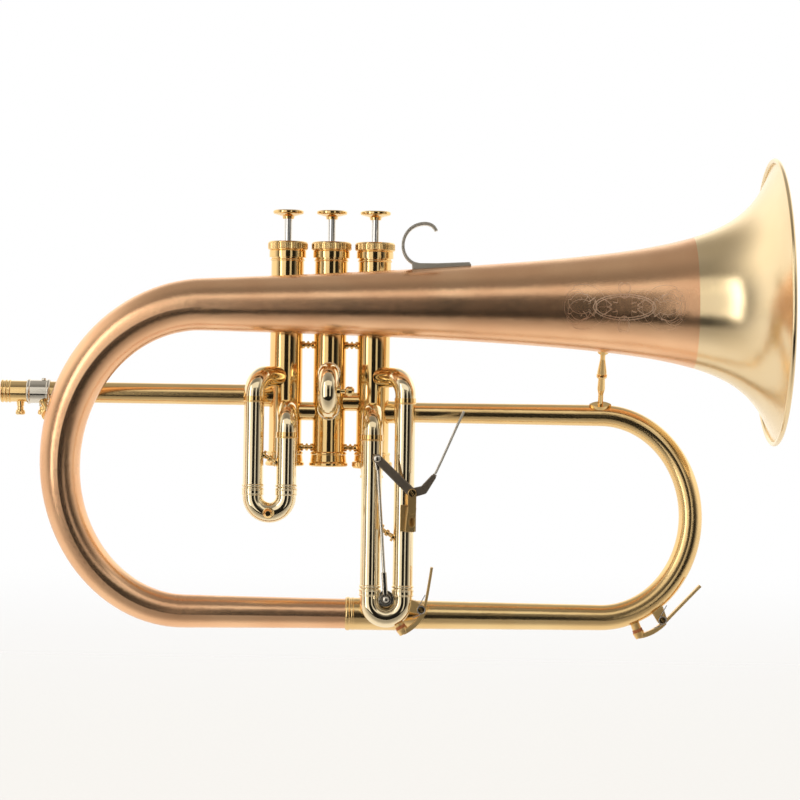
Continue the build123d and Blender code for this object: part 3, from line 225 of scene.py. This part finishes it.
# Scrolls that leave the cartouche's edge and curl back on themselves, the same in each quarter.
# Each has its start and heading, then the radius and turn of each of its arcs.
scrolls = (
    ((13.0, 5.0), 20, ((16.0, -40), (4.6, -120), (2.9, -150), (1.7, -170))),
    ((16.0, 3.2), 60, ((7.0, -80), (3.2, -140), (1.8, -170))),
    ((6.0, 7.6), 40, ((6.0, -70), (2.8, -150), (1.5, -180))),
    ((3.0, 7.4), 70, ((4.0, 70), (2.0, 150), (1.1, 160))),
    ((22.5, 2.5), -30, ((5.0, 70), (2.4, 150), (1.2, 170))))
for way in (1, -1):
    for up in (1, -1):
        for start, heading, arcs in scrolls:
            turned_arcs = [(radius, turn * way * up) for radius, turn in arcs]
            facing = heading if way > 0 else 180 - heading
            lines.append(graver_line((start[0] * way, start[1] * up), facing * up, turned_arcs))
bpy.ops.object.select_all(action="DESELECT")
for line in lines:
    line.select_set(True)
bpy.context.view_layer.objects.active = lines[0]
bpy.ops.object.join()
engraving = bpy.context.object
engraving.name = engraving.data.name = "bell_engraving"
wrap = engraving.modifiers.new("laid_on_bell", "SHRINKWRAP")
wrap.target = nodes["bell_body"]
wrap.wrap_method = "PROJECT"
wrap.use_project_y = True
wrap.use_negative_direction = False
wrap.offset = 0.00005
bpy.ops.object.modifier_apply(modifier=wrap.name)
depth = engraving.modifiers.new("burr", "SOLIDIFY")
depth.thickness = burr_height / 1000.0
depth.offset = 0.0
bpy.ops.object.modifier_apply(modifier=depth.name)
bpy.ops.object.mode_set(mode="EDIT")
end_piece(engraving, cut_brass, "horn")

# ---- Bell flare and rim --------------------------------------------------------------------------
# The last hand's breadth of the bell is a separate spun flare of pale yellow brass, soldered to the
# rose brass body. Its edge is rolled over a wire, and it has a finer, glossier satin.
flare_brass = metal("satin_pale_brass", "#ecd8b4", "#e0caa2", 0.17, 0.03)
finish(flare_brass, "bell_flare", "bell_rim_wire")

# ---- Main bow, leadpipe and tail ferrule ---------------------------------------------------------
# Drawn yellow brass tube, bent over a form into the front bow, with the same satin lacquer. The
# ferrule that joins it to the bell's tail is turned brass with two raised beads.
yellow_brass = metal("satin_yellow_brass", "#efd29c", "#e2be84", 0.17, 0.04)
finish(yellow_brass, "main_bow", "leadpipe", "tail_ferrule")

# ---- Mouthpiece receiver, its sleeve and screws --------------------------------------------------
# Polished brass socket with turned rings, sliding in a nickel silver sleeve. Two small brass screws
# with straight-knurled heads clamp them; the knurls are rolled in on a lathe.
polished_brass = metal("polished_brass", "#f3d69d", "#e8c080", 0.09, 0.02, bite=0.004, edge=0.25)
nickel_silver = metal("nickel_silver", "#e4dfd6", "#cfc9be", 0.14, 0.03, bite=0.006, edge=0.5)
finish(polished_brass, "mouthpiece_receiver", "receiver_thumb_screw", "sleeve_clamp_screw",
       "leadpipe_brace", "tube_ferrules")
finish(nickel_silver, "leadpipe_sleeve")


def knurled_ring(name, middle, radius, height, teeth, depth, body):
    """Straight-knurled ring, upright, closed over the cylinder it is rolled into. All in mm."""
    clear_of_head = 0.02
    outside = (radius + clear_of_head) / math.cos(math.pi / teeth)
    bpy.ops.mesh.primitive_cylinder_add(
        vertices=teeth, radius=outside / 1000.0, depth=height / 1000.0, end_fill_type="NOTHING",
        location=[value / 1000.0 for value in middle])
    ring = start_piece(name)
    bpy.ops.mesh.select_all(action="SELECT")
    bpy.ops.mesh.normals_make_consistent(inside=False)
    pitch = 2.0 * math.pi * radius / teeth
    bpy.ops.mesh.inset(thickness=pitch * 0.3 / 1000.0, depth=depth / 1000.0, use_individual=True)
    bpy.ops.object.mode_set(mode="OBJECT")
    wall = ring.modifiers.new("wall", "SOLIDIFY")
    wall.thickness = 0.0003
    wall.offset = -1.0
    bpy.ops.object.modifier_apply(modifier=wall.name)
    bpy.ops.object.mode_set(mode="EDIT")
    return end_piece(ring, polished_brass, body, angle=25)


head_middle = 1.2     # above the screw's lowest point
for screw, body in (("sleeve_clamp_screw", "clamp_screw"),
                    ("receiver_thumb_screw", "thumb_screw")):
    screw_low, screw_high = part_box(screw)
    screw_x = (screw_low.x + screw_high.x) * 500.0
    screw_y = (screw_low.y + screw_high.y) * 500.0
    head_r = (screw_high.x - screw_low.x) * 500.0
    knurled_ring(screw + "_knurl", (screw_x, screw_y, screw_low.z * 1000 + head_middle),
                 head_r, height=1.5, teeth=26, depth=0.14, body=body)

# ---- Valve casings and caps ----------------------------------------------------------------------
# Three polished brass casings with screwed caps. Each top cap carries a fine coin-edge knurl, and
# the third valve's bottom cap is a heavy one with its own knurl. Turned balusters tie the casings.
finish(polished_brass, "valve_casing_1", "valve_casing_2", "valve_casing_3", "top_caps",
       "bottom_caps", "heavy_bottom_cap", "valve_balusters", "valve_knuckles")
casing_x = []
for number in (1, 2, 3):
    stem_low, stem_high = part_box(f"valve_stem_{number}")
    casing_x.append((stem_low.x + stem_high.x) * 500.0)
cap_low, cap_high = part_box("top_caps")
cap_r = (cap_high.x - cap_low.x) * 500.0 - casing_x[2]
cap_top = cap_high.z * 1000.0
coin_edge_teeth = 66
for number, x in enumerate(casing_x, 1):
    knurled_ring(f"top_cap_knurl_{number}", (x, 0.0, cap_top - 2.6), cap_r, height=3.6,
                 teeth=coin_edge_teeth, depth=0.22, body="horn")
heavy_low, heavy_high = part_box("heavy_bottom_cap")
heavy_r = (heavy_high.x - heavy_low.x) * 500.0
knurled_ring("heavy_cap_knurl", (casing_x[2], 0.0, heavy_low.z * 1000 + 8.0), heavy_r, height=2.8,
             teeth=coin_edge_teeth, depth=0.2, body="horn")

# ---- Pistons, stems, buttons and springs ---------------------------------------------------------
# Lapped monel pistons on coiled steel springs, chromed stems and brass finger buttons. A felt ring
# under each button and in each cap deadens the stroke.
chrome = metal("chromed_steel", "#eeeeee", "#dfe0e2", 0.05, 0.02, bite=0.002)
monel = metal("lapped_monel", "#cfccc6", "#b7b2aa", 0.22, 0.06, grain=(0.1, 0.1, 0.6))
spring_steel = metal("spring_steel", "#b9b9bb", "#8d8d90", 0.25, 0.06, grain=(0.4, 0.4, 0.1))
finish(polished_brass, "finger_button_1", "finger_button_2", "finger_button_3")
finish(chrome, "valve_stem_1", "valve_stem_2", "valve_stem_3")
finish(monel, "piston_1", "piston_2", "piston_3", "valve_guides")
finish(spring_steel, "valve_spring_1", "valve_spring_2", "valve_spring_3")


def soft(name, light, dark, grain, bite, roughness=0.85):
    """Felt or cork: fibres or granules of a size in mm, between two colours."""
    made = bpy.data.materials.new(name)
    made.use_nodes = True
    shader = made.node_tree.nodes["Principled BSDF"]
    place = put(made, "ShaderNodeTexCoord").outputs["Object"]
    grains = put(made, "ShaderNodeTexVoronoi", {"Vector": place, "Scale": 1000.0 / grain})
    fibres = put(made, "ShaderNodeTexNoise", {"Vector": place, "Scale": 2500.0 / grain,
                                              "Detail": 3.0})
    both = put(made, "ShaderNodeMix", {"Factor": 0.5, "A": grains.outputs["Distance"],
                                       "B": fibres.outputs["Fac"]}, data_type="FLOAT")
    tone = put(made, "ShaderNodeMix", {"Factor": both.outputs["Result"], "A": linear(light),
                                       "B": linear(dark)}, data_type="RGBA")
    relief = put(made, "ShaderNodeBump", {"Height": both.outputs["Result"], "Strength": 0.7,
                                          "Distance": bite / 1000.0})
    made.node_tree.links.new(tone.outputs["Result"], shader.inputs["Base Color"])
    made.node_tree.links.new(relief.outputs["Normal"], shader.inputs["Normal"])
    shader.inputs["Roughness"].default_value = roughness
    return made


finish(soft("pressed_felt", "#f2efe6", "#c9c4b6", 0.25, 0.08, 0.95), "cap_felts")

# ---- Slides --------------------------------------------------------------------------------------
# Mirror-polished pale tube: fixed outer legs with beaded ends, bows that slide in them, turned
# braces between the legs, and a small turned knob to pull each bow by.
slide_brass = metal("polished_pale_brass", "#f6e8ca", "#ecd9b2", 0.07, 0.02, bite=0.004, edge=0.25)
finish(slide_brass, "first_slide_outer", "second_slide_outer", "third_slide_outer",
       "first_slide_bow", "second_slide_bow", "third_slide_bow")
finish(polished_brass, "first_slide_brace", "third_slide_brace", "first_slide_knob",
       "second_slide_knob")

# ---- Third-slide trigger -------------------------------------------------------------------------
# A nickel silver lever on a screw in a brass bracket. It draws a thin rod whose loose eye grips a
# ball stud on the slide's bow, and its finger plate is thin strip with rounded edges.
dark_nickel = metal("brushed_nickel_lever", "#b5a99a", "#94877a", 0.3, 0.05, edge=0.9)
finish(dark_nickel, "trigger_lever")
finish(metal("satin_nickel_plate", "#eeeae2", "#d8d3c9", 0.36, 0.05, edge=0.7),
       "trigger_finger_plate")
finish(nickel_silver, "link_rod", "link_ball_stud")
bracket_brass = metal("satin_bracket_brass", "#f1cf93", "#e2b771", 0.3, 0.05, edge=0.6)
finish(bracket_brass, "trigger_bracket")
finish(polished_brass, "pivot_screws")
joint_places = {joint["name"]: joint["pos_m"] for joint in frame["record"]["behaviour"]["joints"]
                if "pos_m" in joint}
lever_pivot = Vector(joint_places["trigger_turn"])
# Two upright ears with round tops hold the pivot's screw, one before the lever and one behind.
ear_r = 0.0024
ear_drop = 0.0095
for name, front, thick in (("bracket_front_ear", -0.03775, 0.0016),
                           ("bracket_back_ear", -0.03385, 0.0014)):
    bpy.ops.mesh.primitive_cylinder_add(
        vertices=48, radius=ear_r, depth=thick, rotation=(math.radians(90), 0.0, 0.0),
        location=(lever_pivot.x, front + thick / 2, lever_pivot.z))
    ear = start_piece(name)
    select_where(ear, lambda place: place.z < lever_pivot.z - 0.0001)
    bpy.ops.transform.translate(value=(0.0, 0.0, -ear_drop))
    end_piece(ear, bracket_brass, "horn")


def dome(name, middle, radius, body):
    """Turned nut facing the player's left: a low cylinder whose front is drawn in twice."""
    height = 0.0008
    bpy.ops.mesh.primitive_cylinder_add(vertices=32, radius=radius, depth=height, location=middle,
                                        rotation=(math.radians(90), 0.0, 0.0))
    nut = start_piece(name)
    front = middle[1] - height / 2
    select_where(nut, lambda place: place.y < front + height * 0.1)
    for share, rise in ((0.86, 0.3), (0.55, 0.25)):
        bpy.ops.mesh.extrude_region_move()
        bpy.ops.transform.translate(value=(0.0, -height * rise, 0.0))
        bpy.ops.transform.resize(value=(share, 1.0, share), center_override=tuple(middle))
    return end_piece(nut, nickel_silver, body, angle=35)


# A nut closes the lever's pin, and a cap the ball that the rod's eye turns on.
pin_place = Vector(joint_places["link_turn"])
lever_low, lever_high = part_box("trigger_lever")
stud_low, stud_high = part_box("link_ball_stud")
stud_middle = (stud_low + stud_high) / 2
dome("lever_pin_nut", (pin_place.x, lever_low.y + 0.0001, pin_place.z), 0.0019, "trigger")
dome("ball_cap", (stud_middle.x, stud_low.y + 0.0003, stud_middle.z), 0.0017, "third_slide")

# ---- Water keys ----------------------------------------------------------------------------------
# Cast brass levers on saddles, holding an orange cork on the drain's nipple. A steel wire spring is
# wound round each pivot, with one leg under the lever's tail and one on the tube.
key_brass = metal("cast_brass_key", "#f3d59c", "#e6bd7c", 0.36, 0.05, bite=0.01, edge=0.8)
finish(key_brass, "slide_key_lever", "bow_key_lever", "slide_key_saddle", "bow_key_saddle")
finish(polished_brass, "slide_key_screw")
finish(soft("orange_cork", "#d58a58", "#9c5530", 0.5, 0.12), "slide_key_cork", "bow_key_cork")
coil_r = 0.0021
wire_r = 0.00026
coil_step = 0.0005      # a hair under the wire's own thickness
for key, body in (("slide_key", "third_slide"), ("bow_key", "horn")):
    pivot = Vector(joint_places[key + "_open"])
    saddle_low, saddle_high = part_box(key + "_saddle")
    front = saddle_low.y - 0.0002
    coils = []
    for turn in range(3):
        bpy.ops.mesh.primitive_torus_add(
            major_radius=coil_r, minor_radius=wire_r, major_segments=32, minor_segments=8,
            location=(pivot.x, front - coil_step * turn, pivot.z),
            rotation=(math.radians(90), 0.0, 0.0))
        coils.append(bpy.context.object)
    # The two straight legs, by their lean in degrees and their length.
    for angle, length in ((62.0, 0.0085), (205.0, 0.0062)):
        lean = math.radians(angle)
        tangent = Vector((math.cos(lean), 0.0, math.sin(lean)))
        outward = Vector((-math.sin(lean), 0.0, math.cos(lean))) * coil_r
        coil_middle = Vector((pivot.x, front - coil_step, pivot.z))
        bpy.ops.mesh.primitive_cylinder_add(
            vertices=10, radius=wire_r, depth=length,
            location=coil_middle + outward + tangent * length / 2,
            rotation=(0.0, math.radians(90) - lean, 0.0))
        coils.append(bpy.context.object)
    bpy.ops.object.select_all(action="DESELECT")
    for coil in coils:
        coil.select_set(True)
    bpy.context.view_layer.objects.active = coils[0]
    bpy.ops.object.join()
    spring = start_piece(key + "_spring")
    end_piece(spring, spring_steel, body, angle=60)

# ---- Hook and braces -----------------------------------------------------------------------------
# The right hand's hook is bent nickel silver strip with polished edges. Turned brass posts hold the
# bell to the main bow and to the valves.
hook_nickel = metal("polished_hook", "#e6e0d6", "#c9c2b6", 0.34, 0.05, edge=0.9)
finish(hook_nickel, "finger_hook")
finish(polished_brass, "bell_brace", "bell_valve_braces")

# ---- Floor, light and camera ---------------------------------------------------------------------
# A pale floor runs back under the horn, and the room is white all round but for the dark side
# behind the camera, which gives polished tube its black line.
middle = (cad_low + cad_high) / 2
scene = bpy.context.scene
scene.view_settings.view_transform = "Standard"

floor_middle = (0.0, 2.6, cad_low.z - 0.17)
floor_wide, floor_long = 9.0, 6.0
bpy.ops.mesh.primitive_plane_add(size=1.0, location=floor_middle)
floor = bpy.context.object
floor.name = "floor"
bpy.ops.object.mode_set(mode="EDIT")
bpy.ops.transform.resize(value=(floor_wide, floor_long, 1.0), center_override=floor_middle)
bpy.ops.object.mode_set(mode="OBJECT")
pale_floor = bpy.data.materials.new("pale_floor_paint")
pale_floor.use_nodes = True
floor_shader = pale_floor.node_tree.nodes["Principled BSDF"]
floor_place = put(pale_floor, "ShaderNodeTexCoord").outputs["Object"]
speckle = put(pale_floor, "ShaderNodeTexNoise", {"Vector": floor_place, "Scale": 260.0,
                                                 "Detail": 2.0})
floor_tone = put(pale_floor, "ShaderNodeMix", {
    "Factor": speckle.outputs["Fac"], "A": linear("#f6f5f3"), "B": linear("#fbfaf9")},
    data_type="RGBA", clamp_factor=True)
floor_depth = put(pale_floor, "ShaderNodeSeparateXYZ", {"Vector": floor_place})
# The paint fades into the white wall far behind the horn, so its edge is faint.
fade = put(pale_floor, "ShaderNodeMapRange", {
    "Value": floor_depth.outputs["Y"], "From Min": -2.4, "From Max": 0.6, "To Min": 0.45,
    "To Max": 0.0}, interpolation_type="SMOOTHSTEP")
clear_wall = put(pale_floor, "ShaderNodeBsdfTransparent")
shown = put(pale_floor, "ShaderNodeMixShader", {
    0: fade.outputs["Result"], 1: clear_wall.outputs[0], 2: floor_shader.outputs[0]})
floor_shader.inputs["Roughness"].default_value = 0.75
pale_floor.node_tree.links.new(floor_tone.outputs["Result"], floor_shader.inputs["Base Color"])
pale_floor.node_tree.links.new(
    shown.outputs[0], pale_floor.node_tree.nodes["Material Output"].inputs["Surface"])
floor.data.materials.append(pale_floor)

world = bpy.data.worlds.new("studio")
scene.world = world
world.use_nodes = True
world.node_tree.nodes.clear()
direction = put(world, "ShaderNodeTexCoord").outputs["Generated"]
axes = put(world, "ShaderNodeSeparateXYZ", {"Vector": direction})
# White walls behind and at both sides, a dim wall behind the camera and a dimmer ceiling. Each is a
# smooth step of light along one axis: where it starts and stops, and its two levels.
steps = {}
for side, axis, start, stop, low, high in (("walls", "Y", -0.72, 0.08, 0.015, 1.2),
                                           ("ceiling", "Z", 0.45, 0.9, 1.0, 0.2),
                                           ("above_camera", "Z", 0.05, 0.45, 0.0, 0.22)):
    steps[side] = put(world, "ShaderNodeMapRange", {
        "Value": axes.outputs[axis], "From Min": start, "From Max": stop, "To Min": low,
        "To Max": high}, interpolation_type="SMOOTHSTEP").outputs["Result"]
under_ceiling = put(world, "ShaderNodeMath", {0: steps["walls"], 1: steps["ceiling"]},
                    operation="MULTIPLY")
level = put(world, "ShaderNodeMath", {0: under_ceiling.outputs[0], 1: steps["above_camera"]},
            operation="ADD").outputs[0]
room = put(world, "ShaderNodeBackground", {"Color": linear("#fff8ec"), "Strength": level})
plain = put(world, "ShaderNodeBackground", {"Color": linear("#ffffff"), "Strength": 1.0})
seen = put(world, "ShaderNodeLightPath")
mixed = put(world, "ShaderNodeMixShader", {0: seen.outputs["Is Camera Ray"], 1: room.outputs[0],
                                           2: plain.outputs[0]})
put(world, "ShaderNodeOutputWorld", {"Surface": mixed.outputs[0]})


def softbox(name, bearing, height, distance, width, tall, brightness):
    """Rectangular soft light facing the horn, at a bearing from the front and a height angle."""
    light = bpy.data.lights.new(name, "AREA")
    light.shape = "RECTANGLE"
    light.size = width
    light.size_y = tall
    light.energy = brightness * math.pi * width * tall
    light.color = linear("#fffaf0")[:3]
    lamp = bpy.data.objects.new(name, light)
    scene.collection.objects.link(lamp)
    around, up = math.radians(bearing), math.radians(height)
    away = Vector((math.sin(around) * math.cos(up), -math.cos(around) * math.cos(up), math.sin(up)))
    lamp.location = middle + away * distance
    lamp.rotation_euler = away.to_track_quat("Z", "Y").to_euler()
    lamp.visible_camera = False
    return lamp


# Bearing and height in degrees; distance, width and tallness in m; then brightness.
softbox("bank_above_front", 0, 34, 1.5, 2.4, 0.55, 0.75)
softbox("tall_box_left", -47, 5, 1.5, 0.3, 1.5, 2.2)
softbox("wide_box_left", -33, 0, 1.6, 1.15, 1.3, 1.0)
softbox("narrow_box_right", 22, 0, 1.6, 0.34, 1.2, 0.75)
# Lights the floor from above and behind the horn, and is switched off for reflections.
floor_lamp = softbox("floor_lamp", 180, 70, 1.9, 3.0, 3.0, 0.5)
floor_lamp.visible_glossy = False

camera_data = bpy.data.cameras.new("camera")
camera = bpy.data.objects.new("camera", camera_data)
scene.collection.objects.link(camera)
scene.camera = camera
camera_data.lens = 114.8
camera_data.sensor_width = 36.0
camera_distance = 1.42
camera_height = -0.0016
camera_aside = 0.0085
camera.location = (middle.x + camera_aside, middle.y - camera_distance, camera_height)
# The horn hangs a little nose down: the camera is rolled by that angle.
roll = -0.9
camera.rotation_euler = (math.radians(90), math.radians(roll), 0.0)
